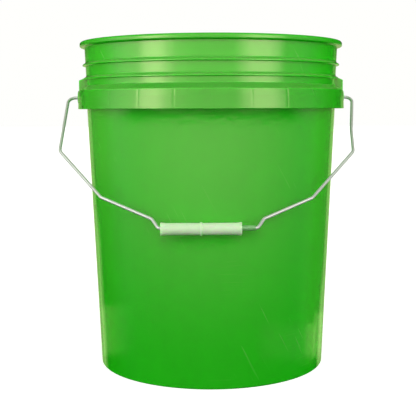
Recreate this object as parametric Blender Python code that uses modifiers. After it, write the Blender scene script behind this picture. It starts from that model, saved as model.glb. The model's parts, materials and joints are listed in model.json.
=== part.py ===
"""Open plastic fermenting bucket: a moulded pail, its wire bail and the grip on the bail.

Metres, +Z up. The pail's axis is +Z through the origin and its foot stands on z = 0.
The bail turns about the X axis through the two ears and hangs towards -Y at rest.
"""

import math

import bmesh
import bpy
from mathutils import Matrix, Vector

# The moulded pail. The wall is a cone; drops are measured down from the top of the rim.
PAIL_HEIGHT = 0.3683
BASE_RADIUS = 0.1295
WALL_TAPER = 0.042
WALL_THICKNESS = 0.0023
NECK_STEP = 0.0009
FOOT_WIDTH = 0.0034
FLOOR_RECESS = 0.0050
FLOOR_THICKNESS = 0.0026
FLOOR_FILLET = 0.0040
PANEL_INSET = 0.0320
PANEL_RISE = 0.0008

# The bead round the rim and the two stacking rings under it.
BEAD_HEIGHT = 0.0058
BEAD_REACH = 0.0054
RING_REACH = 0.0034
RING_ROOT = 0.0034
RING_TIP = 0.0013
UPPER_RING_DROP = 0.0266
LOWER_RING_DROP = 0.0418

# The sloping shelf and the skirt band that hangs from it, open underneath.
SHELF_DROP = 0.0487
BAND_DROP = 0.0541
BAND_HEIGHT = 0.0207
BAND_GAP = 0.0079
BAND_THICKNESS = 0.0024
BAND_LEAN = 0.0014
BAND_KNEE_DROP = 0.0070
BAND_KNEE_LEAN = 0.0005
RIB_SPACING = math.radians(15)
RIB_THICKNESS = 0.0016
RIB_LIFT = 0.0020
GUSSET_REACH = 0.0120
GUSSET_LIFT = 0.0010

# The two ears that carry the bail, at +X and -X.
EAR_HALF_WIDTH = 0.0200
EAR_FALL = 0.0020
EAR_CORNER = 0.0016
EAR_SEAT = 0.0003
PIVOT_DROP = 0.0619
BOSS_RADIUS = 0.0080
BOSS_RISE = 0.0012

# The wire bail. Depths run from the pivot along the bail's own plane. A corner is
# (how far out, depth, bend radius); shoulders and elbows count from the ear's face,
# knees and jogs from the pail's axis. The wire is bent by hand, so its sides differ.
WIRE_RADIUS = 0.0017
HOLE_CLEARANCE = 0.0006
HOOK_LENGTH = 0.0090
HOOK_BEND = 0.0032
GRIP_WIRE_DEPTH = 0.1953
LEFT_SIDE = ((0.0123, 0.0, 0.0085), (0.0146, 0.0853, 0.0100))
LEFT_SLOPE = ((0.1168, 0.1529, 0.0070), (0.0627, 0.1830, 0.0045))
LEFT_JOG = 0.0559
RIGHT_SIDE = ((0.0119, 0.0, 0.0085), (0.0047, 0.0540, 0.0400), (0.0032, 0.0876, 0.0100))
RIGHT_SLOPE = ((0.1040, 0.1550, 0.0070), (0.0520, 0.1833, 0.0045))
RIGHT_JOG = 0.0450
JOG_BEND = 0.0040

# The tube on the straight of the wire, and the grip that hangs on that tube.
TUBE_CLEARANCE = 0.0004
TUBE_WALL = 0.0007
TUBE_END_GAP = 0.0022
GRIP_MIDDLE = -0.0125
GRIP_LENGTH = 0.0826
GRIP_RADIUS = 0.00615
GRIP_SLACK = 0.0013
GRIP_HANG_CLEARANCE = 0.0003
FLARE_RADIUS = 0.00675
FLARE_LENGTH = 0.0060
RING_RADIUS = 0.0069
RING_WIDTH = 0.0030
REST_GAP = 0.00035

# How finely the turned and the bent shapes are faceted.
PAIL_STEPS = 64
TUBE_STEPS = 24
GRIP_STEPS = 32
ARC_STEP = math.radians(30)
BEND_STEP = math.radians(15)
BITE = 0.0008
WELD = 0.00001
SHARP_ANGLE = math.radians(30)

PIVOT_HEIGHT = PAIL_HEIGHT - PIVOT_DROP
SHELF_HEIGHT = PAIL_HEIGHT - SHELF_DROP
BAND_TOP = PAIL_HEIGHT - BAND_DROP
BAND_BOTTOM = BAND_TOP - BAND_HEIGHT
LOWER_RING_HEIGHT = PAIL_HEIGHT - LOWER_RING_DROP
UPPER_RING_HEIGHT = PAIL_HEIGHT - UPPER_RING_DROP
TUBE_RADIUS = WIRE_RADIUS + TUBE_CLEARANCE + TUBE_WALL
GRIP_BORE_RADIUS = TUBE_RADIUS + GRIP_SLACK
GRIP_DEPTH = GRIP_WIRE_DEPTH + GRIP_SLACK - GRIP_HANG_CLEARANCE


def wall_radius(height):
    """Outside radius of the pail's wall."""
    return BASE_RADIUS + WALL_TAPER * height


def neck_radius(height):
    """Outside radius of the neck, the stretch of wall above the shelf."""
    return wall_radius(height) - NECK_STEP


def band_radius(height):
    """Outside radius of the skirt band, and of the ears that rise from it."""
    foot = wall_radius(BAND_BOTTOM) + BAND_GAP + BAND_THICKNESS
    knee = BAND_TOP - BAND_KNEE_DROP
    if height < knee:
        return foot - BAND_KNEE_LEAN * (height - BAND_BOTTOM) / (knee - BAND_BOTTOM)
    upper_lean = (BAND_LEAN - BAND_KNEE_LEAN) * min((height - knee) / BAND_KNEE_DROP, 1.0)
    return foot - BAND_KNEE_LEAN - upper_lean


def filleted(corners, step):
    """A 2-D path through corners (a, b, radius), with each corner turned into an arc."""
    path = [Vector(corners[0][:2])]
    for before, here, after in zip(corners, corners[1:], corners[2:]):
        point = Vector(here[:2])
        to_before = Vector(before[:2]) - point
        to_after = Vector(after[:2]) - point
        turn = math.pi - to_before.angle(to_after)
        if here[2] == 0 or turn < 0.001:
            path.append(point)
            continue
        room = 0.49 * min(to_before.length, to_after.length)
        tangent = min(here[2] * math.tan(turn / 2), room)
        radius = tangent / math.tan(turn / 2)
        middle = to_before.normalized() + to_after.normalized()
        centre = point + middle.normalized() * math.hypot(radius, tangent)
        spoke = point + to_before.normalized() * tangent - centre
        side = math.copysign(1.0, to_before.cross(to_after))
        count = max(1, math.ceil(turn / step))
        for index in range(count + 1):
            angle = -side * turn * index / count
            path.append(centre + Matrix.Rotation(angle, 2) @ spoke)
    path.append(Vector(corners[-1][:2]))
    return path


def new_collection(name, hidden=False):
    collection = bpy.data.collections.new(name)
    collection.hide_render = hidden
    bpy.context.scene.collection.children.link(collection)
    return collection


def add_mesh(name, builder, collection):
    """An object whose mesh comes from a bmesh."""
    mesh = bpy.data.meshes.new(name)
    builder.to_mesh(mesh)
    builder.free()
    item = bpy.data.objects.new(name, mesh)
    collection.objects.link(item)
    return item


def turned(name, outline, closed, steps, collection):
    """Turn an outline of (radius, height) points about Z. Its outer side runs downwards."""
    builder = bmesh.new()
    points = [builder.verts.new((radius, 0.0, height)) for radius, height in outline]
    for first, second in zip(points, points[1:]):
        builder.edges.new((first, second))
    if closed:
        builder.edges.new((points[-1], points[0]))
    item = add_mesh(name, builder, collection)
    screw = item.modifiers.new("turn", "SCREW")
    screw.steps = steps
    screw.render_steps = steps
    screw.use_merge_vertices = True
    screw.merge_threshold = WELD
    return item


def fins(name, outline, thickness, angles, collection):
    """Flat fins of one (radius, height) outline, standing on edge round the axis."""
    builder = bmesh.new()
    for angle in angles:
        face = builder.faces.new(
            [builder.verts.new((radius, -thickness / 2, height)) for radius, height in outline]
        )
        grown = bmesh.ops.extrude_face_region(builder, geom=[face])["geom"]
        far_side = [part for part in grown if isinstance(part, bmesh.types.BMVert)]
        bmesh.ops.translate(builder, verts=far_side, vec=(0.0, thickness, 0.0))
        turn = Matrix.Rotation(angle, 3, "Z")
        bmesh.ops.rotate(builder, verts=list(face.verts) + far_side, matrix=turn)
    bmesh.ops.recalc_face_normals(builder, faces=builder.faces)
    return add_mesh(name, builder, collection)


def box(name, size, centre, collection):
    bpy.ops.mesh.primitive_cube_add(size=1.0, location=centre, scale=size)
    item = bpy.context.object
    item.name = name
    move_to(item, collection)
    return item


def pegs_along_x(name, radius, inner, outer, collection):
    """Two short round pegs on the pivot axis, one through each ear."""
    builder = bmesh.new()
    for side in (-1, 1):
        place = Matrix.Translation((side * (inner + outer) / 2, 0.0, PIVOT_HEIGHT))
        bmesh.ops.create_cone(
            builder,
            cap_ends=True,
            segments=TUBE_STEPS,
            radius1=radius,
            radius2=radius,
            depth=outer - inner,
            matrix=place @ Matrix.Rotation(math.pi / 2, 4, "Y"),
        )
    return add_mesh(name, builder, collection)


def move_to(item, collection):
    for owner in list(item.users_collection):
        owner.objects.unlink(item)
    collection.objects.link(item)


def combine(item, tool, operation):
    """Join a tool to an item, or cut the item with it."""
    modifier = item.modifiers.new(tool.name, "BOOLEAN")
    modifier.operation = operation
    modifier.solver = "EXACT"
    modifier.object = tool
    tool.display_type = "WIRE"
    tool.hide_render = True


def settle(item):
    """Make the modified shape the item's own mesh and shade it smooth between sharp edges."""
    shape = item.evaluated_get(bpy.context.evaluated_depsgraph_get())
    mesh = bpy.data.meshes.new_from_object(shape)
    mesh.name = item.name
    item.modifiers.clear()
    item.data = mesh
    mesh.shade_smooth()
    mesh.set_sharp_from_angle(angle=SHARP_ANGLE)


def paint(item, name, colour, roughness, metallic=0.0):
    """Give the item a material of its own."""
    finish = bpy.data.materials.new(name)
    finish.use_nodes = True
    shader = finish.node_tree.nodes["Principled BSDF"]
    shader.inputs["Base Color"].default_value = (*colour, 1.0)
    shader.inputs["Roughness"].default_value = roughness
    shader.inputs["Metallic"].default_value = metallic
    item.data.materials.clear()
    item.data.materials.append(finish)


def shelf_height(radius):
    """Top of the sloping shelf at a radius."""
    inner = neck_radius(SHELF_HEIGHT)
    fall = (SHELF_HEIGHT - BAND_TOP) / (band_radius(BAND_TOP) - inner)
    return SHELF_HEIGHT - fall * (radius - inner)


def shelf_skin():
    """Height of the shelf's section, measured straight down."""
    run = band_radius(BAND_TOP) - neck_radius(SHELF_HEIGHT)
    return WALL_THICKNESS * math.hypot(1.0, (SHELF_HEIGHT - BAND_TOP) / run)


def ring_corners(height):
    """A stacking ring with its flat underside at a height, from its root downwards."""
    neck = neck_radius(height)
    tip = neck + RING_REACH
    return [
        (neck_radius(height + RING_ROOT), height + RING_ROOT, 0.0025),
        (tip, height + RING_TIP, 0.0004),
        (tip, height + 0.0002, 0.0),
        (neck, height, 0.0),
    ]


def pail_outline():
    """The pail's half section, from the floor's middle up the inside and down the outside."""
    rim = PAIL_HEIGHT
    floor = FLOOR_RECESS + FLOOR_THICKNESS
    foot_inner = BASE_RADIUS - FOOT_WIDTH
    panel = foot_inner - PANEL_INSET
    step = 2 * PANEL_RISE
    bead_foot = rim - BEAD_HEIGHT
    bead = neck_radius(bead_foot) + BEAD_REACH
    skirt_top = band_radius(BAND_TOP) - BAND_THICKNESS
    cavity_root = SHELF_HEIGHT - shelf_skin()
    corners = [
        (0.0, floor + PANEL_RISE, 0.0),
        (panel - step, floor + PANEL_RISE, 0.0),
        (panel, floor, 0.0),
        (wall_radius(floor) - WALL_THICKNESS, floor, FLOOR_FILLET),
        (wall_radius(BAND_TOP) - WALL_THICKNESS, BAND_TOP, 0.0),
        (neck_radius(SHELF_HEIGHT) - WALL_THICKNESS, SHELF_HEIGHT, 0.0),
        (neck_radius(rim) - WALL_THICKNESS, rim, 0.0008),
        (bead, rim, 0.0026),
        (bead, bead_foot, 0.0014),
        (neck_radius(bead_foot), bead_foot, 0.0),
        *ring_corners(UPPER_RING_HEIGHT),
        *ring_corners(LOWER_RING_HEIGHT),
        (neck_radius(SHELF_HEIGHT), SHELF_HEIGHT, 0.0012),
        (band_radius(BAND_TOP), BAND_TOP, 0.0010),
        (band_radius(BAND_TOP - BAND_KNEE_DROP), BAND_TOP - BAND_KNEE_DROP, 0.0),
        (band_radius(BAND_BOTTOM), BAND_BOTTOM, 0.0),
        (band_radius(BAND_BOTTOM) - BAND_THICKNESS, BAND_BOTTOM, 0.0),
        (skirt_top, shelf_height(skirt_top) - shelf_skin(), 0.0),
        (wall_radius(cavity_root), cavity_root, 0.0),
        (BASE_RADIUS, 0.0, 0.0018),
        (foot_inner, 0.0, 0.0),
        (foot_inner - 0.0004, FLOOR_RECESS, 0.0),
        (panel, FLOOR_RECESS, 0.0),
        (panel - step, FLOOR_RECESS + PANEL_RISE, 0.0),
        (0.0, FLOOR_RECESS + PANEL_RISE, 0.0),
    ]
    return filleted(corners, ARC_STEP)


def ear_outline():
    """The ears' solid section: a sloping top plate, the outer face and the inside of the band."""
    top = LOWER_RING_HEIGHT + RING_TIP
    skin = BAND_THICKNESS / 2
    low = BAND_BOTTOM + RIB_LIFT
    corners = [
        (wall_radius(low) - WALL_THICKNESS / 2, low, 0.0),
        (neck_radius(top) - WALL_THICKNESS / 2, top, 0.0),
        (neck_radius(top) + RING_REACH, top, 0.0),
        (band_radius(BAND_TOP), top - EAR_FALL, EAR_CORNER),
        (band_radius(BAND_TOP), BAND_TOP - 0.0008, 0.0),
        (band_radius(BAND_TOP) - skin, BAND_TOP - 0.0016, 0.0),
        (band_radius(BAND_BOTTOM) - skin, low, 0.0),
    ]
    return filleted(corners, ARC_STEP)


def ear_hollow_outline():
    """The hollow behind each ear, open underneath, where the bail's hook turns."""
    top = LOWER_RING_HEIGHT + RING_TIP - BAND_THICKNESS
    below = BAND_BOTTOM - BAND_THICKNESS
    outer_top = band_radius(BAND_TOP) - BAND_THICKNESS - EAR_SEAT
    outer_low = band_radius(BAND_BOTTOM) - BAND_THICKNESS - EAR_SEAT
    return [
        (wall_radius(below) + EAR_SEAT, below),
        (wall_radius(top) + EAR_SEAT, top),
        (outer_top, top - EAR_FALL),
        (outer_low, below),
    ]


def ear_solid(name, outline, half_width, collection, cutters):
    """The two stretches of a turned ring that lie within half_width of the X axis."""
    ring = turned(name, outline, True, PAIL_STEPS, collection)
    reach = 2 * (band_radius(BAND_BOTTOM) + BAND_GAP)
    bar = box(name + "_bar", (reach, 2 * half_width, PAIL_HEIGHT), (0, 0, PAIL_HEIGHT), cutters)
    bar.location.z = PIVOT_HEIGHT
    combine(ring, bar, "INTERSECT")
    return ring


def rib_angles():
    """Even spacing all round, with none where the bail passes through an ear."""
    count = round(2 * math.pi / RIB_SPACING)
    ear_angle = math.asin(EAR_HALF_WIDTH / band_radius(BAND_BOTTOM))
    return [
        index * RIB_SPACING
        for index in range(count)
        if abs(math.sin(index * RIB_SPACING)) > math.sin(ear_angle)
    ]


def build_pail(parts, cutters):
    """The green moulding: wall, floor, bead, rings, band, ears and ribs in one piece."""
    pail = turned("pail_body", pail_outline(), False, PAIL_STEPS, parts)

    ears = ear_solid("ears", ear_outline(), EAR_HALF_WIDTH, cutters, cutters)
    combine(pail, ears, "UNION")

    face = band_radius(PIVOT_HEIGHT)
    bosses = pegs_along_x("bosses", BOSS_RADIUS, face - BAND_THICKNESS / 2, face + BOSS_RISE, cutters)
    combine(pail, bosses, "UNION")

    low = BAND_BOTTOM + RIB_LIFT
    inner = wall_radius(low) - BITE
    outer = band_radius(low) - BAND_THICKNESS + BITE
    rib = [
        (inner, low),
        (outer, low),
        (outer, shelf_height(outer) - shelf_skin() + BITE),
        (inner, shelf_height(inner) - shelf_skin() + BITE),
    ]
    ribs = fins("skirt_ribs", rib, RIB_THICKNESS, rib_angles(), cutters)
    combine(pail, ribs, "UNION")

    foot_inner = BASE_RADIUS - FOOT_WIDTH
    ceiling = FLOOR_RECESS + BITE
    gusset = [
        (foot_inner + BITE, GUSSET_LIFT),
        (foot_inner + BITE, ceiling),
        (foot_inner - GUSSET_REACH, ceiling),
        (foot_inner - GUSSET_REACH, FLOOR_RECESS - BITE),
        (foot_inner - 0.0012, GUSSET_LIFT),
    ]
    count = round(2 * math.pi / RIB_SPACING)
    spread = [index * RIB_SPACING for index in range(count)]
    gussets = fins("foot_gussets", gusset, RIB_THICKNESS, spread, cutters)
    combine(pail, gussets, "UNION")

    half_width = EAR_HALF_WIDTH - BAND_THICKNESS
    hollows = ear_solid("ear_hollows", ear_hollow_outline(), half_width, cutters, cutters)
    combine(pail, hollows, "DIFFERENCE")

    hole = WIRE_RADIUS + HOLE_CLEARANCE
    start = face - BAND_THICKNESS - BAND_GAP / 2
    holes = pegs_along_x("bail_holes", hole, start, face + 2 * BOSS_RADIUS, cutters)
    combine(pail, holes, "DIFFERENCE")

    settle(pail)
    paint(pail, "green_polyethylene", (0.050, 0.400, 0.018), 0.30)
    return pail


def bail_corners():
    """The wire's centre line in the bail's plane, as (x, depth, bend radius) corners."""
    face = band_radius(PIVOT_HEIGHT)
    skin = face - BAND_THICKNESS
    hook = (wall_radius(PIVOT_HEIGHT) + skin) / 2
    hook_bend = min(HOOK_BEND, skin - hook)
    corners = []
    for sign, side, slope, jog in (
        (-1, LEFT_SIDE, LEFT_SLOPE, LEFT_JOG),
        (1, RIGHT_SIDE, RIGHT_SLOPE, RIGHT_JOG),
    ):
        half = [(sign * hook, -HOOK_LENGTH, 0.0), (sign * hook, 0.0, hook_bend)]
        half += [(sign * (face + out), depth, bend) for out, depth, bend in side]
        half += [(sign * out, depth, bend) for out, depth, bend in slope]
        half.append((sign * jog, GRIP_WIRE_DEPTH, JOG_BEND))
        corners += half if sign < 0 else half[::-1]
    return corners


def hang_angle():
    """Swing from straight down at which the grip's ring rests against the pail's wall."""
    beside = max(abs(GRIP_MIDDLE) - RING_WIDTH / 2, 0.0)
    angle = math.pi / 4
    for _ in range(40):
        height = PIVOT_HEIGHT - GRIP_DEPTH * math.cos(angle)
        front = math.sqrt(wall_radius(height) ** 2 - beside ** 2)
        angle = math.asin((front + RING_RADIUS + REST_GAP) / GRIP_DEPTH)
    return angle


def build_bail(parts):
    """The steel wire, one length, hooked into both ears. Its origin is on the pivot axis."""
    path = filleted(bail_corners(), BEND_STEP)
    curve = bpy.data.curves.new("wire_bail", "CURVE")
    curve.dimensions = "3D"
    curve.bevel_depth = WIRE_RADIUS
    curve.bevel_resolution = 2
    curve.render_resolution_u = 0
    curve.use_fill_caps = True
    spline = curve.splines.new("POLY")
    spline.points.add(len(path) - 1)
    for point, (across, depth) in zip(spline.points, path):
        point.co = (across, 0.0, -depth, 1.0)
    spline.use_smooth = True
    bail = bpy.data.objects.new("wire_bail", curve)
    parts.objects.link(bail)
    bail.location = (0.0, 0.0, PIVOT_HEIGHT)
    bail.rotation_euler = (-hang_angle(), 0.0, 0.0)
    paint(bail, "galvanised_wire", (0.55, 0.55, 0.56), 0.30, 1.0)
    return bail


def build_tube(bail, parts):
    """The thin translucent tube that the straight of the wire runs through."""
    half = (LEFT_JOG + RIGHT_JOG) / 2 - TUBE_END_GAP
    bore = WIRE_RADIUS + TUBE_CLEARANCE
    outline = [(bore, half), (TUBE_RADIUS, half), (TUBE_RADIUS, -half), (bore, -half)]
    tube = turned("wire_tube", outline, True, TUBE_STEPS, parts)
    tube.parent = bail
    tube.location = ((RIGHT_JOG - LEFT_JOG) / 2, 0.0, -GRIP_WIRE_DEPTH)
    tube.rotation_euler = (0.0, math.pi / 2, 0.0)
    settle(tube)
    paint(tube, "natural_polyethylene", (0.62, 0.70, 0.60), 0.35)
    return tube


def grip_outline():
    """The grip's section along its own axis: flared ends, plain body and a middle ring."""
    end = GRIP_LENGTH / 2
    bore = GRIP_BORE_RADIUS
    ring = RING_WIDTH / 2
    lip = 0.0006
    corners = [
        (bore, -end + lip, 0.0),
        (bore, end - lip, 0.0),
        (bore + lip, end, 0.0),
        (FLARE_RADIUS, end, lip),
        (FLARE_RADIUS, end - 2 * lip, 0.0),
        (GRIP_RADIUS, end - FLARE_LENGTH, 0.0060),
        (GRIP_RADIUS, ring, 0.0),
        (RING_RADIUS, ring / 2, 0.0003),
        (RING_RADIUS, -ring / 2, 0.0003),
        (GRIP_RADIUS, -ring, 0.0),
        (GRIP_RADIUS, -end + FLARE_LENGTH, 0.0060),
        (FLARE_RADIUS, -end + 2 * lip, 0.0),
        (FLARE_RADIUS, -end, lip),
        (bore + lip, -end, 0.0),
    ]
    return filleted(corners, ARC_STEP)


def build_grip(bail, parts):
    """The white moulded grip, loose on the tube. Its origin is on its own axis."""
    grip = turned("handle_grip", grip_outline(), True, GRIP_STEPS, parts)
    grip.parent = bail
    grip.location = (GRIP_MIDDLE, 0.0, -GRIP_DEPTH)
    grip.rotation_euler = (0.0, math.pi / 2, 0.0)
    settle(grip)
    paint(grip, "white_polyethylene", (0.80, 0.86, 0.76), 0.35)
    return grip


def build_bucket():
    for item in list(bpy.data.objects):
        bpy.data.objects.remove(item)
    parts = new_collection("fermenting_bucket")
    cutters = new_collection("cutters", hidden=True)
    build_pail(parts, cutters)
    bail = build_bail(parts)
    build_tube(bail, parts)
    build_grip(bail, parts)


build_bucket()
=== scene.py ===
"""The looks of an open fermenting bucket: a green moulded pail, its wire bail, tube and grip.

Metres, +Z up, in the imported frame. Four sections make one real piece each, and the last
two set up the studio and the camera.
"""

import json
import math

import bmesh
import bpy
from mathutils import Matrix, Vector


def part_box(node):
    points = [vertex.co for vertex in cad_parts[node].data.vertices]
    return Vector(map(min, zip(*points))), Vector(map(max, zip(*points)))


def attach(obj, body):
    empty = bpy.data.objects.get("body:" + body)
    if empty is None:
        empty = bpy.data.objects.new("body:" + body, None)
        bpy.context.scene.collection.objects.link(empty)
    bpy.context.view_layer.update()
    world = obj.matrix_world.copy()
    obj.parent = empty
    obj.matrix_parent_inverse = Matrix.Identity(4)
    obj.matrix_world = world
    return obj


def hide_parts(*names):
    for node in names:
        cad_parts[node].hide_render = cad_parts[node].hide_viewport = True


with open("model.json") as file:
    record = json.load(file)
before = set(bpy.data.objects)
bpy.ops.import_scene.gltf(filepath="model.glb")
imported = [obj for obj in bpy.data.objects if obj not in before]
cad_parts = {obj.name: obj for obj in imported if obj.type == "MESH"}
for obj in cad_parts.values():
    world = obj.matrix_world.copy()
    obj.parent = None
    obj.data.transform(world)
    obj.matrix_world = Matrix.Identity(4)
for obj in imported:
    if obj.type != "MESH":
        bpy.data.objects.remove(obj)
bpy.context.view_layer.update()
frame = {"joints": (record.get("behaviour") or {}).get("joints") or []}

pivots = {joint["name"]: Vector(joint["pos_m"]) for joint in frame["joints"]}

# --------------------------------------------------------------------------------------
# The pail. One injection moulding in glossy green polyethylene: a tapered wall, a rolled
# bead, two stacking rings, and a skirt band with the ears that carry the bail.

pail_low, pail_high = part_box("pail_body")
RIM = pail_high.z
BAND_RADIUS = pail_high.y
BASE_RADIUS = 0.1295
WALL_TAPER = 0.042
WALL_THICKNESS = 0.0023
SHELF_THICKNESS = WALL_THICKNESS * 1.18
NECK_STEP = 0.0009
FOOT_WIDTH = 0.0034
FLOOR_RECESS = 0.0050
FLOOR_THICKNESS = 0.0026
PANEL_RADIUS = 0.0941
PANEL_RISE = 0.0008

BEAD_HEIGHT = 0.0058
BEAD_REACH = 0.0054
RING_REACH = 0.0034
RING_ROOT = 0.0034
RING_TIP = 0.0013
UPPER_RING = RIM - 0.0266
LOWER_RING = RIM - 0.0418

SHELF = RIM - 0.0487
BAND_TOP = RIM - 0.0541
BAND_BOTTOM = BAND_TOP - 0.0207
BAND_KNEE = BAND_TOP - 0.0070
BAND_THICKNESS = 0.0024
KNEE_LEAN = 0.0005
TOP_LEAN = 0.0014
RIB_SPACING = math.radians(15)
RIB_THICKNESS = 0.0016
RIB_LIFT = 0.0020
SINK_DEPTH = 0.00016
SINK_WIDTH = 0.0010
BITE = 0.0008

EAR_HALF_WIDTH = 0.0200
EAR_FALL = 0.0020
BOSS_RADIUS = 0.0080
BOSS_RISE = 0.0012
HOLE_RADIUS = 0.0023

FINE_ARC = math.radians(15)
SHARP = math.radians(32)
pivot_height = pivots["bail_swing"].z


def wall(height):
    """Outside radius of the tapered wall."""
    return BASE_RADIUS + WALL_TAPER * height


def neck(height):
    """Outside radius of the wall above the shelf."""
    return wall(height) - NECK_STEP


def band(height):
    """Outside radius of the skirt band and of the ears' faces."""
    if height < BAND_KNEE:
        return BAND_RADIUS - KNEE_LEAN * (height - BAND_BOTTOM) / (BAND_KNEE - BAND_BOTTOM)
    share = min((height - BAND_KNEE) / (BAND_TOP - BAND_KNEE), 1.0)
    return BAND_RADIUS - KNEE_LEAN - (TOP_LEAN - KNEE_LEAN) * share


def rounded(corners, step=FINE_ARC):
    """A 2-D path through corners (a, b, radius), each corner turned into an arc."""
    path = [Vector(corners[0][:2])]
    for before, here, after in zip(corners, corners[1:], corners[2:]):
        point = Vector(here[:2])
        back = Vector(before[:2]) - point
        ahead = Vector(after[:2]) - point
        turn = math.pi - back.angle(ahead)
        if here[2] == 0 or turn < 0.001:
            path.append(point)
            continue
        reach = min(here[2] * math.tan(turn / 2), 0.49 * min(back.length, ahead.length))
        radius = reach / math.tan(turn / 2)
        bisector = (back.normalized() + ahead.normalized()).normalized()
        centre = point + bisector * math.hypot(radius, reach)
        spoke = point + back.normalized() * reach - centre
        side = math.copysign(1.0, back.cross(ahead))
        count = max(1, math.ceil(turn / step))
        path += [
            centre + Matrix.Rotation(-side * turn * index / count, 2) @ spoke
            for index in range(count + 1)
        ]
    path.append(Vector(corners[-1][:2]))
    return path


def grid_mesh(name, rows, wrap_rows, wrap_columns):
    """A mesh of quads between rows of points. A row that meets in one point closes as a fan."""
    builder = bmesh.new()
    grid = [[builder.verts.new(point) for point in row] for row in rows]
    row_pairs = list(zip(grid, grid[1:])) + ([(grid[-1], grid[0])] if wrap_rows else [])
    for lower, upper in row_pairs:
        columns = list(range(len(lower)))
        for here, there in zip(columns, columns[1:] + ([0] if wrap_columns else [])):
            builder.faces.new((lower[here], lower[there], upper[there], upper[here]))
    if not wrap_columns:
        builder.faces.new([row[0] for row in grid])
        builder.faces.new([row[-1] for row in reversed(grid)])
    bmesh.ops.remove_doubles(builder, verts=builder.verts, dist=0.000002)
    bmesh.ops.recalc_face_normals(builder, faces=builder.faces)
    mesh = bpy.data.meshes.new(name)
    builder.to_mesh(mesh)
    builder.free()
    item = bpy.data.objects.new(name, mesh)
    bpy.context.scene.collection.objects.link(item)
    return item


def turned(name, outline, angles, closed, swell=None):
    """An outline of (radius, height) turned about Z. swell adds to the radius at an angle."""
    rows = []
    for radius, height in outline:
        row = []
        for angle in angles:
            extra = swell(angle, radius, height) if swell else 0.0
            reach = radius + extra
            row.append((reach * math.cos(angle), reach * math.sin(angle), height))
        rows.append(row)
    return grid_mesh(name, rows, closed, True)


def fine_angles(step, marks, spread):
    """Even angles all round, with a few more on each side of every mark."""
    angles = [step * index for index in range(round(2 * math.pi / step))]
    for mark in marks:
        angles += [mark + offset for offset in spread]
    return sorted({round(angle % (2 * math.pi), 6) for angle in angles})


def ring_profile(height):
    """A stacking ring: a long slope on top, a small round tip and a flat underside."""
    tip = neck(height) + RING_REACH
    return [
        (neck(height + RING_ROOT), height + RING_ROOT, 0.0025),
        (tip, height + RING_TIP, 0.0005),
        (tip, height + 0.0001, 0.0003),
        (neck(height), height, 0.0006),
    ]


def shelf_line(radius):
    """Height of the sloping shelf at a radius."""
    share = (radius - neck(SHELF)) / (band(BAND_TOP) - neck(SHELF))
    return SHELF + (BAND_TOP - SHELF) * share


def pail_profile():
    """Half section, from the middle of the floor up the inside and down the outside."""
    floor = FLOOR_RECESS + FLOOR_THICKNESS
    foot_inner = BASE_RADIUS - FOOT_WIDTH
    step = 2 * PANEL_RISE
    bead_foot = RIM - BEAD_HEIGHT
    bead = neck(bead_foot) + BEAD_REACH
    skirt = band(BAND_TOP) - BAND_THICKNESS
    return rounded(
        [
            (0.0, floor + PANEL_RISE, 0.0),
            (PANEL_RADIUS - step, floor + PANEL_RISE, 0.0012),
            (PANEL_RADIUS, floor, 0.0012),
            (wall(floor) - WALL_THICKNESS, floor, 0.0040),
            (wall(BAND_TOP) - WALL_THICKNESS, BAND_TOP, 0.0200),
            (neck(SHELF) - WALL_THICKNESS, SHELF, 0.0200),
            (neck(RIM) - WALL_THICKNESS, RIM, 0.0009),
            (bead, RIM, 0.0026),
            (bead, bead_foot, 0.0014),
            (neck(bead_foot), bead_foot, 0.0007),
            *ring_profile(UPPER_RING),
            *ring_profile(LOWER_RING),
            (neck(SHELF), SHELF, 0.0014),
            (band(BAND_TOP), BAND_TOP, 0.0011),
            (band(BAND_KNEE), BAND_KNEE, 0.0150),
            (band(BAND_BOTTOM), BAND_BOTTOM, 0.0006),
            (band(BAND_BOTTOM) - BAND_THICKNESS, BAND_BOTTOM, 0.0006),
            (skirt, shelf_line(skirt) - SHELF_THICKNESS, 0.0010),
            (wall(SHELF), SHELF - SHELF_THICKNESS, 0.0010),
            (BASE_RADIUS, 0.0, 0.0018),
            (foot_inner, 0.0, 0.0006),
            (foot_inner - 0.0004, FLOOR_RECESS, 0.0008),
            (PANEL_RADIUS, FLOOR_RECESS, 0.0012),
            (PANEL_RADIUS - step, FLOOR_RECESS + PANEL_RISE, 0.0012),
            (0.0, FLOOR_RECESS + PANEL_RISE, 0.0),
        ]
    )


rib_angles = [
    RIB_SPACING * index
    for index in range(round(2 * math.pi / RIB_SPACING))
    if abs(math.sin(RIB_SPACING * index)) > EAR_HALF_WIDTH / BAND_RADIUS
]


def skin_marks(angle, radius, height):
    """Shallow sink lines where the ribs meet the band, and a slight waviness of the wall."""
    if radius < BASE_RADIUS * 0.9:
        return 0.0
    wave = 0.00010 * math.sin(2 * angle + 0.7) * math.sin(9 * height + 0.4)
    wave += 0.00005 * math.sin(5 * angle + 1.1) * math.sin(31 * height)
    if not BAND_BOTTOM + 0.001 < height < BAND_TOP + 0.0005 or radius < wall(height) + 0.006:
        return wave * min(height / 0.02, 1.0)
    nearest = min(abs(math.remainder(angle - rib, 2 * math.pi)) for rib in rib_angles)
    return wave - SINK_DEPTH * math.exp(-((nearest * radius / SINK_WIDTH) ** 2))


def ear_block(name, outline, half_width, steps, side):
    """A block with flat ends across Y whose outline follows the pail's curve between them."""
    rows = []
    for radius, height in outline:
        across = [half_width * (2 * index / steps - 1) for index in range(steps + 1)]
        rows.append([(side * math.sqrt(radius**2 - y**2), y, height) for y in across])
    return grid_mesh(name, rows, True, False)


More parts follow.
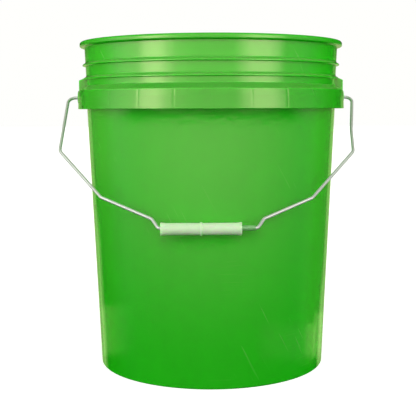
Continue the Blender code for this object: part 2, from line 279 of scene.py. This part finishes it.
def ear_section():
    """The ear: a sloping top plate and a face that carries on the line of the band."""
    top = LOWER_RING + RING_TIP
    skin = BAND_THICKNESS / 2
    low = BAND_BOTTOM + RIB_LIFT
    return rounded(
        [
            (wall(low) - WALL_THICKNESS / 2, low, 0.0),
            (neck(top) - WALL_THICKNESS / 2, top, 0.0),
            (neck(top) + RING_REACH, top, 0.0010),
            (band(BAND_TOP), top - EAR_FALL, 0.0016),
            (band(BAND_TOP), BAND_TOP - 0.0008, 0.0),
            (band(BAND_TOP) - skin, BAND_TOP - 0.0016, 0.0),
            (band(BAND_BOTTOM) - skin, low, 0.0),
        ]
    )


def ear_hollow_section():
    """The hollow behind the ear, open underneath, where the bail's hook turns."""
    top = LOWER_RING + RING_TIP - BAND_THICKNESS
    below = BAND_BOTTOM - BAND_THICKNESS
    seat = 0.0003
    return rounded(
        [
            (wall(below) + seat, below, 0.0),
            (wall(top) + seat, top, 0.0012),
            (band(BAND_TOP) - BAND_THICKNESS - seat, top - EAR_FALL, 0.0012),
            (band(BAND_BOTTOM) - BAND_THICKNESS - seat, below, 0.0),
            (wall(below) + seat, below, 0.0),
        ]
    )[:-1]


def plates(name, outline, thickness, angles):
    """Flat plates of one (radius, height) outline, on edge round the axis, in one mesh."""
    builder = bmesh.new()
    for angle in angles:
        flat = [builder.verts.new((r, -thickness / 2, z)) for r, z in outline]
        face = builder.faces.new(flat)
        grown = bmesh.ops.extrude_face_region(builder, geom=[face])["geom"]
        far_side = [part for part in grown if isinstance(part, bmesh.types.BMVert)]
        bmesh.ops.translate(builder, verts=far_side, vec=(0.0, thickness, 0.0))
        bmesh.ops.rotate(builder, verts=flat + far_side, matrix=Matrix.Rotation(angle, 3, "Z"))
    bmesh.ops.recalc_face_normals(builder, faces=builder.faces)
    mesh = bpy.data.meshes.new(name)
    builder.to_mesh(mesh)
    builder.free()
    item = bpy.data.objects.new(name, mesh)
    bpy.context.scene.collection.objects.link(item)
    return item


def combine(item, tool, operation):
    """Join a closed tool to an item or cut it away, and drop the tool."""
    modifier = item.modifiers.new(tool.name, "BOOLEAN")
    modifier.operation = operation
    modifier.solver = "MANIFOLD"
    modifier.object = tool
    settle(item)
    bpy.data.objects.remove(tool)


def settle(item):
    """Make the modified shape the item's own mesh."""
    mesh = bpy.data.meshes.new_from_object(
        item.evaluated_get(bpy.context.evaluated_depsgraph_get())
    )
    item.modifiers.clear()
    item.data = mesh


def smooth(item):
    """Shade smooth between sharp edges, with normals that follow the larger faces."""
    item.data.shade_smooth()
    item.data.set_sharp_from_angle(angle=SHARP)
    item.modifiers.new("even_normals", "WEIGHTED_NORMAL").keep_sharp = True


def make_pail():
    spread = [math.radians(degrees) for degrees in (-1.0, -0.7, -0.5, -0.3, -0.15)]
    spread += [0.0] + [-offset for offset in reversed(spread)]
    angles = fine_angles(math.radians(2), rib_angles, spread)
    pail = turned("pail", pail_profile(), angles, False, skin_marks)

    for side, word in ((-1, "left"), (1, "right")):
        ear = ear_block(word + "_ear", ear_section(), EAR_HALF_WIDTH, 24, side)
        combine(pail, ear, "UNION")
        face = band(pivot_height)
        boss = turned(
            word + "_boss",
            rounded(
                [
                    (0.0, 0.0, 0.0),
                    (BOSS_RADIUS, 0.0, 0.0),
                    (BOSS_RADIUS, BOSS_RISE + BAND_THICKNESS / 2, 0.0005),
                    (0.0, BOSS_RISE + BAND_THICKNESS / 2, 0.0),
                ]
            ),
            fine_angles(math.radians(7.5), [], []),
            False,
        )
        boss.data.transform(Matrix.Rotation(side * math.pi / 2, 4, "Y"))
        boss.data.transform(
            Matrix.Translation((side * (face - BAND_THICKNESS / 2), 0.0, pivot_height))
        )
        combine(pail, boss, "UNION")

    low = BAND_BOTTOM + RIB_LIFT
    inner = wall(low) - BITE
    outer = band(low) - BAND_THICKNESS + BITE
    top = SHELF_THICKNESS - BITE
    rib = [
        (inner, low),
        (outer, low),
        (outer, shelf_line(outer) - top),
        (inner, shelf_line(inner) - top),
    ]
    combine(pail, plates("ribs", rib, RIB_THICKNESS, rib_angles), "UNION")

    foot_inner = BASE_RADIUS - FOOT_WIDTH
    gusset = [
        (foot_inner + BITE, 0.0010),
        (foot_inner + BITE, FLOOR_RECESS + BITE),
        (foot_inner - 0.0120, FLOOR_RECESS + BITE),
        (foot_inner - 0.0120, FLOOR_RECESS - BITE),
        (foot_inner - 0.0012, 0.0010),
    ]
    all_round = [RIB_SPACING * index for index in range(round(2 * math.pi / RIB_SPACING))]
    combine(pail, plates("gussets", gusset, RIB_THICKNESS, all_round), "UNION")

    for side, word in ((-1, "left"), (1, "right")):
        hollow = ear_block(
            word + "_hollow", ear_hollow_section(), EAR_HALF_WIDTH - BAND_THICKNESS, 24, side
        )
        combine(pail, hollow, "DIFFERENCE")
        hole = turned(
            word + "_hole",
            [(0.0, 0.0), (HOLE_RADIUS, 0.0), (HOLE_RADIUS, 0.02), (0.0, 0.02)],
            fine_angles(math.radians(10), [], []),
            False,
        )
        hole.data.transform(Matrix.Rotation(side * math.pi / 2, 4, "Y"))
        hole.data.transform(
            Matrix.Translation((side * (band(pivot_height) - 0.006), 0.0, pivot_height))
        )
        combine(pail, hole, "DIFFERENCE")
    smooth(pail)
    return pail


class Nodes:
    """A material's node tree, with short calls for the nodes used here."""

    def __init__(self, name):
        self.material = bpy.data.materials.new(name)
        self.material.use_nodes = True
        self.tree = self.material.node_tree
        self.shader = self.tree.nodes["Principled BSDF"]
        coordinates = self.add("ShaderNodeTexCoord")
        self.place = coordinates.outputs["Object"]
        self.facing = coordinates.outputs["Normal"]

    def add(self, kind, inputs=(), **settings):
        node = self.tree.nodes.new(kind)
        for key, value in settings.items():
            setattr(node, key, value)
        for key, value in dict(inputs).items():
            if isinstance(value, bpy.types.NodeSocket):
                self.tree.links.new(value, node.inputs[key])
            else:
                node.inputs[key].default_value = value
        return node

    def stretched(self, scale, lean=0.0):
        """Object coordinates leant about Y and scaled along each axis."""
        mapping = self.add("ShaderNodeMapping", {"Vector": self.place}, vector_type="TEXTURE")
        mapping.inputs["Rotation"].default_value = (0.0, lean, 0.0)
        mapping.inputs["Scale"].default_value = [1.0 / part for part in scale]
        return mapping.outputs["Vector"]

    def noise(self, scale, detail=2.0, vector=None, rough=0.5):
        inputs = {"Vector": vector or self.place, "Scale": scale}
        inputs |= {"Detail": detail, "Roughness": rough}
        return self.add("ShaderNodeTexNoise", inputs).outputs["Fac"]

    def spread(self, value, low, high, to_low, to_high):
        """A value moved from one range to another, held at both ends."""
        inputs = {"Value": value, "From Min": low, "From Max": high}
        inputs |= {"To Min": to_low, "To Max": to_high}
        return self.add("ShaderNodeMapRange", inputs, clamp=True).outputs["Result"]

    def blend(self, share, first, second):
        """One colour turning into another."""
        node = self.add("ShaderNodeMix", data_type="RGBA")
        self.tree.links.new(share, node.inputs["Factor"])
        for socket, value in ((node.inputs[6], first), (node.inputs[7], second)):
            if isinstance(value, bpy.types.NodeSocket):
                self.tree.links.new(value, socket)
            else:
                socket.default_value = (*value, 1.0)
        return node.outputs[2]

    def math(self, operation, first, second=0.0):
        node = self.add("ShaderNodeMath", operation=operation)
        for socket, value in zip(node.inputs, (first, second)):
            if isinstance(value, bpy.types.NodeSocket):
                self.tree.links.new(value, socket)
            else:
                socket.default_value = value
        return node.outputs[0]

    def bump(self, height, depth, normal=None):
        """A bump whose full height is depth metres."""
        inputs = {"Height": height, "Distance": depth, "Strength": 1.0}
        if normal:
            inputs["Normal"] = normal
        return self.add("ShaderNodeBump", inputs).outputs["Normal"]

    def set(self, **inputs):
        """Give the shader its values. An underscore in a name stands for a space."""
        for key, value in inputs.items():
            socket = self.shader.inputs[key.replace("_", " ")]
            if isinstance(value, bpy.types.NodeSocket):
                self.tree.links.new(value, socket)
            else:
                socket.default_value = value


def green_polyethylene():
    """Glossy moulded polyethylene, lightly scuffed and scratched, that lets a little light in.
    Up-facing ledges carry painted light from above.
    """
    n = Nodes("green_polyethylene")
    clouds = n.noise(9.0, 3.0)
    streaks = n.noise(1.0, 3.0, n.stretched((38.0, 38.0, 3.0)))
    tone = n.math("ADD", n.math("MULTIPLY", clouds, 0.6), n.math("MULTIPLY", streaks, 0.4))
    base = n.blend(
        n.spread(tone, 0.35, 0.65, 0.0, 1.0), (0.0040, 0.450, 0.0015), (0.0060, 0.485, 0.0025)
    )

    cells = n.noise(1.0, 4.0, n.stretched((420.0, 420.0, 60.0)), 0.6)
    hairs = n.noise(1.0, 2.0, n.stretched((28.0, 28.0, 1300.0)), 0.55)
    rubbed = n.spread(n.noise(13.0, 4.0), 0.55, 0.72, 0.0, 1.0)
    scuffed = n.math("MULTIPLY", rubbed, n.spread(hairs, 0.60, 0.70, 0.0, 1.0))
    base = n.blend(n.math("MULTIPLY", scuffed, 0.16), base, (0.20, 0.52, 0.12))
    strokes = n.noise(1.0, 1.0, n.stretched((420.0, 60.0, 9.0), math.radians(-27)))
    patchy = n.spread(n.noise(11.0, 2.0), 0.52, 0.66, 0.0, 1.0)
    scratched = n.math("MULTIPLY", n.spread(strokes, 0.69, 0.73, 0.0, 1.0), patchy)
    base = n.blend(n.math("MULTIPLY", scratched, 0.17), base, (0.30, 0.62, 0.20))

    # Painted light: up-facing ledges between the band and the upper ring are blended pale, as if
    # lit from above.
    up = n.add("ShaderNodeSeparateXYZ", {"Vector": n.facing}).outputs["Z"]
    level = n.add("ShaderNodeSeparateXYZ", {"Vector": n.place}).outputs["Z"]
    ledge = n.spread(level, UPPER_RING + 0.005, UPPER_RING + 0.007, 0.26, 0.0)
    ledge = n.math("MULTIPLY", ledge, n.spread(level, BAND_BOTTOM, BAND_KNEE, 0.0, 1.0))
    ledge_painted_light = n.math("MULTIPLY", n.spread(up, 0.35, 0.80, 0.0, 1.0), ledge)
    ledge_painted_light = n.math("MULTIPLY", ledge_painted_light, n.spread(clouds, 0.3, 0.6, 0.7, 1.0))
    base = n.blend(ledge_painted_light, base, (0.45, 0.47, 0.25))
    rough = n.spread(n.noise(24.0, 4.0), 0.3, 0.7, 0.045, 0.065)
    rough = n.math("ADD", rough, n.math("MULTIPLY", scuffed, 0.10))
    peel = n.bump(n.noise(150.0, 2.0), 0.00003)
    grain = n.bump(cells, 0.00001, peel)
    n.set(
        Base_Color=base,
        Roughness=rough,
        IOR=1.50,
        Specular_IOR_Level=0.95,
        Specular_Tint=(1.0, 0.88, 0.52, 1.0),
        Subsurface_Weight=1.0,
        Subsurface_Radius=(0.002, 0.009, 0.0015),
        Subsurface_Scale=1.0,
        Coat_Weight=0.12,
        Coat_Roughness=0.05,
        Coat_IOR=1.5,
        Normal=grain,
        Coat_Normal=n.bump(n.noise(90.0, 2.0), 0.000012),
    )
    return n.material


pail = make_pail()
pail.data.materials.clear()
pail.data.materials.append(green_polyethylene())
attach(pail, "pail")
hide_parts("pail_body")

# --------------------------------------------------------------------------------------
# The bail. One length of bright galvanised wire, bent by hand, with a hook at each end
# that turns in the hollow behind an ear. It hangs until the grip meets the wall.

WIRE_RADIUS = 0.0017
HOOK_LENGTH = 0.0090
GRIP_WIRE_DEPTH = 0.1953
LEFT_SIDE = ((0.0123, 0.0, 0.0085), (0.01455, 0.0853, 0.0100))
LEFT_SLOPE = ((0.1168, 0.1529, 0.0070), (0.0627, 0.1830, 0.0045))
LEFT_JOG = 0.0559
RIGHT_SIDE = ((0.01183, 0.0, 0.0085), (0.0047, 0.0540, 0.0400), (0.0031, 0.0876, 0.0100))
RIGHT_SLOPE = ((0.1040, 0.1550, 0.0070), (0.0520, 0.1833, 0.0045))
RIGHT_JOG = 0.0450
JOG_BEND = 0.0040

grip_arm = pivots["grip_spin"] - pivots["bail_swing"]
hang = Matrix.Translation(pivots["bail_swing"]) @ Matrix.Rotation(
    math.atan2(grip_arm.y, -grip_arm.z), 4, "X"
)


def bail_line():
    """The wire's centre line in the bail's own plane, as (x, depth below the pivot)."""
    face = band(pivot_height)
    skin = face - BAND_THICKNESS
    hook = (wall(pivot_height) + skin) / 2
    corners = []
    for sign, side, slope, jog in (
        (-1, LEFT_SIDE, LEFT_SLOPE, LEFT_JOG),
        (1, RIGHT_SIDE, RIGHT_SLOPE, RIGHT_JOG),
    ):
        half = [(sign * hook, -HOOK_LENGTH, 0.0), (sign * hook, 0.0, min(0.0032, skin - hook))]
        half += [(sign * (face + out), depth, bend) for out, depth, bend in side]
        half += [(sign * out, depth, bend) for out, depth, bend in slope]
        half.append((sign * jog, GRIP_WIRE_DEPTH, JOG_BEND))
        corners += half if sign < 0 else half[::-1]
    return rounded(corners, math.radians(6))


def make_bail():
    line = bail_line()
    curve = bpy.data.curves.new("bail", "CURVE")
    curve.dimensions = "3D"
    curve.bevel_depth = WIRE_RADIUS
    curve.bevel_resolution = 6
    curve.use_fill_caps = True
    spline = curve.splines.new("POLY")
    spline.points.add(len(line) - 1)
    for point, (across, depth) in zip(spline.points, line):
        point.co = (across, 0.0, -depth, 1.0)
    shape = bpy.data.objects.new("bail_curve", curve)
    bpy.context.scene.collection.objects.link(shape)
    mesh = bpy.data.meshes.new_from_object(
        shape.evaluated_get(bpy.context.evaluated_depsgraph_get())
    )
    bpy.data.objects.remove(shape)
    bail = bpy.data.objects.new("bail", mesh)
    bpy.context.scene.collection.objects.link(bail)
    builder = bmesh.new()
    builder.from_mesh(mesh)
    bmesh.ops.remove_doubles(builder, verts=builder.verts, dist=0.000002)
    builder.to_mesh(mesh)
    builder.free()
    mesh.transform(hang)
    smooth(bail)
    return bail


def galvanised_wire():
    """Drawn steel with a thin bright zinc coat: a fine cloudy spangle and duller patches. Its
    greys lean green, a painted reflection of the pail.
    """
    n = Nodes("galvanised_wire")
    spangle = n.noise(900.0, 3.0, rough=0.6)
    dull = n.noise(60.0, 3.0)
    cloudy = n.spread(spangle, 0.35, 0.65, 0.0, 1.0)
    # Painted reflection: both greys and the duller patches lean green for the pail's light on the
    # wire.
    colour = n.blend(cloudy, (0.54, 0.58, 0.52), (0.64, 0.67, 0.62))
    colour = n.blend(n.spread(dull, 0.58, 0.75, 0.0, 0.5), colour, (0.42, 0.45, 0.41))
    n.set(
        Base_Color=colour,
        Metallic=0.55,
        Roughness=n.spread(dull, 0.3, 0.7, 0.30, 0.44),
        Normal=n.bump(spangle, 0.00001),
    )
    return n.material


bail = make_bail()
bail.data.materials.clear()
bail.data.materials.append(galvanised_wire())
bail.visible_glossy = False
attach(bail, "bail")
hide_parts("wire_bail")

# --------------------------------------------------------------------------------------
# The tube. Thin natural polyethylene, extruded and cut to length, threaded on the straight
# of the wire. It is milky and half clear.

TUBE_RADIUS = 0.0028
TUBE_BORE = 0.0021
TUBE_END_GAP = 0.0022


def along_x(item, middle):
    """Lay a shape turned about Z along the wire's straight, hanging with the bail."""
    item.data.transform(Matrix.Rotation(math.pi / 2, 4, "Y"))
    item.data.transform(Matrix.Translation(middle))


def make_tube():
    half = (LEFT_JOG + RIGHT_JOG) / 2 - TUBE_END_GAP
    lip = 0.0002
    outline = rounded(
        [
            (TUBE_BORE, 0.0, 0.0),
            (TUBE_BORE, half, lip),
            (TUBE_RADIUS, half, lip),
            (TUBE_RADIUS, -half, lip),
            (TUBE_BORE, -half, lip),
            (TUBE_BORE, 0.0, 0.0),
        ],
        math.radians(45),
    )[:-1]
    tube = turned("tube", outline, fine_angles(math.radians(7.5), [], []), True)
    wire_line = hang @ Vector(((RIGHT_JOG - LEFT_JOG) / 2, 0.0, -GRIP_WIRE_DEPTH))
    along_x(tube, wire_line)
    smooth(tube)
    return tube


def natural_polyethylene():
    """Unpigmented polyethylene: milky, half clear, with a waxy surface.

    Its colour leans green, in place of the light that the pail throws on it.
    """
    n = Nodes("natural_polyethylene")
    milk = n.noise(260.0, 3.0, n.stretched((0.25, 1.0, 1.0)))
    cloudy = n.spread(milk, 0.3, 0.7, 0.0, 1.0)
    n.set(
        Base_Color=n.blend(cloudy, (0.25, 0.60, 0.21), (0.33, 0.67, 0.29)),
        Roughness=n.spread(milk, 0.3, 0.7, 0.22, 0.34),
        IOR=1.51,
        Transmission_Weight=0.55,
        Normal=n.bump(milk, 0.00002),
    )
    return n.material


tube = make_tube()
tube.data.materials.clear()
tube.data.materials.append(natural_polyethylene())
tube.visible_glossy = False
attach(tube, "bail")
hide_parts("wire_tube")

# --------------------------------------------------------------------------------------
# The grip. A white polyethylene sleeve with flared ends, a raised ring in the middle and
# two parting lines. It is loose on the tube and turns in the hand.

GRIP_LENGTH = 0.0826
GRIP_RADIUS = 0.00615
GRIP_BORE = 0.0041
FLARE_RADIUS = 0.00675
FLARE_LENGTH = 0.0060
RING_RADIUS = 0.0069
RING_WIDTH = 0.0030
SEAM_HEIGHT = 0.00010
SEAM_WIDTH = 0.00028
grip_seams = [math.radians(40), math.radians(220)]


def seam(angle, radius, height):
    """The two parting lines of the mould, a hair proud of the outside."""
    if radius < GRIP_BORE + 0.001:
        return 0.0
    nearest = min(abs(math.remainder(angle - line, 2 * math.pi)) for line in grip_seams)
    return SEAM_HEIGHT * math.exp(-((nearest * radius / SEAM_WIDTH) ** 2))


def make_grip():
    end = GRIP_LENGTH / 2
    lip = 0.0006
    half_ring = RING_WIDTH / 2
    outline = rounded(
        [
            (GRIP_BORE, 0.0, 0.0),
            (GRIP_BORE, -end + lip, 0.0003),
            (GRIP_BORE + lip, -end, 0.0003),
            (FLARE_RADIUS, -end, 0.0007),
            (FLARE_RADIUS, -end + 2 * lip, 0.0020),
            (GRIP_RADIUS, -end + FLARE_LENGTH, 0.0060),
            (GRIP_RADIUS, -half_ring, 0.0006),
            (RING_RADIUS, -half_ring * 0.55, 0.0005),
            (RING_RADIUS, half_ring * 0.55, 0.0005),
            (GRIP_RADIUS, half_ring, 0.0006),
            (GRIP_RADIUS, end - FLARE_LENGTH, 0.0060),
            (FLARE_RADIUS, end - 2 * lip, 0.0020),
            (FLARE_RADIUS, end, 0.0007),
            (GRIP_BORE + lip, end, 0.0003),
            (GRIP_BORE, end - lip, 0.0003),
            (GRIP_BORE, 0.0, 0.0),
        ],
        math.radians(18),
    )[:-1]
    spread = [math.radians(degrees) for degrees in (-5, -3.5, -2, -1, 0, 1, 2, 3.5, 5)]
    angles = fine_angles(math.radians(6), grip_seams, spread)
    grip = turned("grip", outline, angles, True, seam)
    along_x(grip, pivots["grip_spin"])
    smooth(grip)
    return grip


def white_polyethylene():
    """Satin white polyethylene that lets a little light in.

    Its colour leans green, in place of the light that the pail throws on it.
    """
    n = Nodes("white_polyethylene")
    clouds = n.noise(70.0, 3.0)
    flow = n.noise(1.0, 3.0, n.stretched((60.0, 500.0, 500.0)))
    cloudy = n.spread(clouds, 0.3, 0.7, 0.0, 1.0)
    n.set(
        Base_Color=n.blend(cloudy, (0.59, 0.86, 0.50), (0.64, 0.90, 0.56)),
        Roughness=n.spread(flow, 0.3, 0.7, 0.36, 0.48),
        IOR=1.51,
        Subsurface_Weight=0.8,
        Subsurface_Radius=(0.0025, 0.006, 0.0018),
        Subsurface_Scale=1.0,
        Normal=n.bump(flow, 0.00002),
    )
    return n.material


grip = make_grip()
grip.data.materials.clear()
grip.data.materials.append(white_polyethylene())
grip.visible_glossy = False
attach(grip, "grip")
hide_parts("handle_grip")

# --------------------------------------------------------------------------------------
# The studio: a plain pale floor and white surroundings. A world of soft-edged panels gives
# a wash from the front left, two upright soft boxes and paler sides. A weak key stands in
# front, and two stronger broad lights stand behind the sides.

FLOOR_RADIUS = 14.0
WASH_LEAN = math.radians(-10)
WASH_SWING = 0.73
WASH_LEVEL = 0.66
WASH_LEAST = 0.09
WASH_ROWS = (-0.30, -0.01)
WASH_FOOT = 0.11
SOFT_SHARE = 0.70
BACK_SIDES = (math.radians(85), math.radians(125))
FRONT_TINT = (1.0, 1.0, 0.98, 1.0)
BACK_TINT = (0.70, 1.0, 0.38, 1.0)

# Azimuth, elevation, strength and spread of each light, with angles in degrees.
LIGHTS = ((122, 6, 2.50, 70), (-126, 6, 1.60, 70), (0, 33, 0.60, 26))

# Each row has four azimuths in degrees and four heights, where a panel starts, is whole,
# is still whole and has ended, and then its level.
# Dark gaps cut from the wash. Their reflections on the wall paint the shadows under the band, the
# grip and the tube, and fall right only from the front.
PAINTED_SHADOWS = (
    ((-100, -70, 70, 100), (-0.017, -0.006, 0.008, 0.014), 0.95),
    ((-52, -24, 10, 34), (-0.155, -0.144, -0.138, -0.132), 0.8),
    ((16, 28, 38, 48), (-0.145, -0.138, -0.134, -0.128), 0.6),
)
PANELS = (
    ((-100, -40, 40, 110), (0.010, 0.028, 0.090, 0.135), 0.16),
    ((-120, -53, -50, -10), (0.002, 0.018, 0.47, 0.70), 1.20),
    ((-73, -53, -50, -31), (0.002, 0.018, 0.47, 0.70), 2.2),
    ((17, 37, 49, 71), (0.002, 0.018, 0.47, 0.70), 2.5),
    ((-150, -144, -104, -72), (-0.10, -0.05, 0.00, 0.03), 0.12),
    ((84, 112, 144, 150), (-0.29, -0.21, 0.00, 0.03), 0.15),
    ((40, 60, 120, 140), (-0.275, -0.262, -0.240, -0.228), 0.14),
    ((104, 116, 126, 138), (-0.268, -0.258, -0.234, -0.226), 0.45),
    ((120, 132, 150, 160), (-0.268, -0.258, -0.222, -0.214), 0.40),
    ((-156, -146, -128, -78), (-0.268, -0.256, -0.214, -0.209), 0.34),
    ((144, 149, 180, 181), (-0.45, -0.30, 0.00, 0.10), 0.52),
    ((138, 142, 146, 152), (-0.30, -0.28, -0.210, -0.160), 0.40),
    ((-181, -180, -149, -144), (-0.45, -0.30, 0.00, 0.10), 0.52),
    ((-154, -146, -142, -136), (-0.30, -0.28, -0.150, -0.090), 0.40),
)


def fill(azimuth, elevation, strength, spread):
    """A soft light from one side that makes no reflection of its own."""
    light = bpy.data.lights.new("fill", "SUN")
    light.energy = strength
    light.angle = math.radians(spread)
    item = bpy.data.objects.new("fill", light)
    turn, rise = math.radians(azimuth), math.radians(elevation)
    away = Vector((math.sin(turn), -math.cos(turn), math.tan(rise)))
    item.rotation_euler = away.to_track_quat("Z", "Y").to_euler()
    item.visible_glossy = False
    bpy.context.scene.collection.objects.link(item)


def pale_floor():
    """A floor that glows a little. Mirror and diffuse rays do not meet it."""
    builder = bmesh.new()
    bmesh.ops.create_circle(builder, cap_ends=True, segments=96, radius=FLOOR_RADIUS)
    mesh = bpy.data.meshes.new("floor")
    builder.to_mesh(mesh)
    builder.free()
    floor = bpy.data.objects.new("floor", mesh)
    bpy.context.scene.collection.objects.link(floor)
    n = Nodes("pale_floor")
    n.set(
        Base_Color=(0.80, 0.80, 0.79, 1.0),
        Roughness=0.9,
        Specular_IOR_Level=0.1,
        Emission_Color=(1.0, 1.0, 1.0, 1.0),
        Emission_Strength=0.60,
    )
    floor.data.materials.append(n.material)
    floor.visible_glossy = False
    floor.visible_diffuse = False


class Sky:
    """A world whose brightness is a sum of soft-edged windows of azimuth and height."""

    def __init__(self):
        self.world = bpy.data.worlds.new("studio")
        self.world.use_nodes = True
        self.tree = self.world.node_tree
        place = self.tree.nodes.new("ShaderNodeTexCoord").outputs["Generated"]
        self.split = self.tree.nodes.new("ShaderNodeSeparateXYZ")
        self.tree.links.new(place, self.split.inputs[0])
        across, along, self.height = self.split.outputs
        self.front = self.math("MULTIPLY", along, -1.0)
        self.azimuth = self.math("ARCTAN2", across, self.front)
        droop = self.math("COSINE", self.math("MULTIPLY", self.azimuth, 0.5))
        self.row = self.math("ADD", self.height, self.math("MULTIPLY", droop, 2 * WALL_TAPER))
        self.across = across

    def math(self, operation, first, second=0.0):
        node = self.tree.nodes.new("ShaderNodeMath")
        node.operation = operation
        for socket, value in zip(node.inputs, (first, second)):
            if isinstance(value, bpy.types.NodeSocket):
                self.tree.links.new(value, socket)
            else:
                socket.default_value = value
        return node.outputs[0]

    def ramp(self, value, low, high, to_low, to_high):
        """A smooth step from one level to another."""
        node = self.tree.nodes.new("ShaderNodeMapRange")
        node.interpolation_type = "SMOOTHSTEP"
        node.inputs["From Min"].default_value = low
        node.inputs["From Max"].default_value = high
        node.inputs["To Min"].default_value = to_low
        node.inputs["To Max"].default_value = to_high
        self.tree.links.new(value, node.inputs["Value"])
        return node.outputs["Result"]

    def pick(self, share, first, second):
        """One level where share is 0 and another where it is 1."""
        change = self.math("SUBTRACT", second, first)
        return self.math("ADD", first, self.math("MULTIPLY", share, change))

    def window(self, sides, heights, level):
        """A panel, from four azimuths in degrees and four heights: off, on, on, off."""
        a, b, c, d = (math.radians(side) for side in sides)
        low, lit, still, high = heights
        parts = [
            self.ramp(self.azimuth, a, b, 0.0, level),
            self.ramp(self.azimuth, c, d, 1.0, 0.0),
            self.ramp(self.row, low, lit, 0.0, 1.0),
            self.ramp(self.row, still, high, 1.0, 0.0),
        ]
        total = parts[0]
        for part in parts[1:]:
            total = self.math("MULTIPLY", total, part)
        return total


def studio_world():
    """The panels and the wash. Mirror rays see them whole, other rays at SOFT_SHARE of that.

    The camera itself sees plain white, and light from behind is tinted by BACK_TINT.
    """
    sky = Sky()
    toward = sky.math(
        "ADD",
        sky.math("MULTIPLY", sky.front, WASH_SWING * math.cos(WASH_LEAN)),
        sky.math("MULTIPLY", sky.across, WASH_SWING * math.sin(WASH_LEAN)),
    )
    wash = sky.math("MAXIMUM", sky.math("ADD", toward, WASH_LEVEL), WASH_LEAST)
    total = sky.math("MULTIPLY", wash, sky.ramp(sky.row, *WASH_ROWS, WASH_FOOT, 1.0))
    # Painted shadow: darken the wash where the wall reflects it under the band, grip and tube.
    for painted_shadow in PAINTED_SHADOWS:
        left = sky.math("SUBTRACT", 1.0, sky.window(*painted_shadow))
        total = sky.math("MULTIPLY", total, left)
    for panel in PANELS:
        total = sky.math("ADD", total, sky.window(*panel))
    soft = sky.math("MULTIPLY", total, SOFT_SHARE)
    path = sky.tree.nodes.new("ShaderNodeLightPath")
    seen = sky.pick(path.outputs["Is Glossy Ray"], soft, total)
    seen = sky.pick(path.outputs["Is Camera Ray"], seen, 1.0)

    side = sky.math("ABSOLUTE", sky.azimuth)
    behind = sky.ramp(side, *BACK_SIDES, 0.0, 1.0)
    unseen = sky.math("SUBTRACT", 1.0, path.outputs["Is Camera Ray"])
    behind = sky.math("MULTIPLY", behind, unseen)
    shade = sky.tree.nodes.new("ShaderNodeMix")
    shade.data_type = "RGBA"
    sky.tree.links.new(behind, shade.inputs["Factor"])
    shade.inputs[6].default_value = FRONT_TINT
    shade.inputs[7].default_value = BACK_TINT
    background = sky.tree.nodes["Background"]
    sky.tree.links.new(seen, background.inputs["Strength"])
    sky.tree.links.new(shade.outputs[2], background.inputs["Color"])
    bpy.context.scene.world = sky.world


pale_floor()
studio_world()
for light in LIGHTS:
    fill(*light)

scene = bpy.context.scene
scene.view_settings.view_transform = "Standard"
scene.view_settings.look = "None"

# --------------------------------------------------------------------------------------
# The camera, at the height of the band, looking slightly down from in front of the grip.

CAMERA_DISTANCE = 1.0427
CAMERA_HEIGHT = 0.2935
CAMERA_YAW = math.radians(-0.85)
CAMERA_PITCH = math.radians(6.349)
CAMERA_ROLL = math.radians(-0.19)
CAMERA_LENS = 77.45
CAMERA_SHIFT = (-0.008, 0.0009)

camera_data = bpy.data.cameras.new("camera")
camera_data.lens = CAMERA_LENS
camera_data.sensor_width = 36.0
camera_data.shift_x, camera_data.shift_y = CAMERA_SHIFT
camera = bpy.data.objects.new("camera", camera_data)
scene.collection.objects.link(camera)
turn = Matrix.Rotation(CAMERA_YAW, 4, "Z")
place = Matrix.Translation((0.0, -CAMERA_DISTANCE, CAMERA_HEIGHT))
tilt = Matrix.Rotation(math.pi / 2 - CAMERA_PITCH, 4, "X")
camera.matrix_world = turn @ place @ tilt @ Matrix.Rotation(CAMERA_ROLL, 4, "Z")
scene.camera = camera
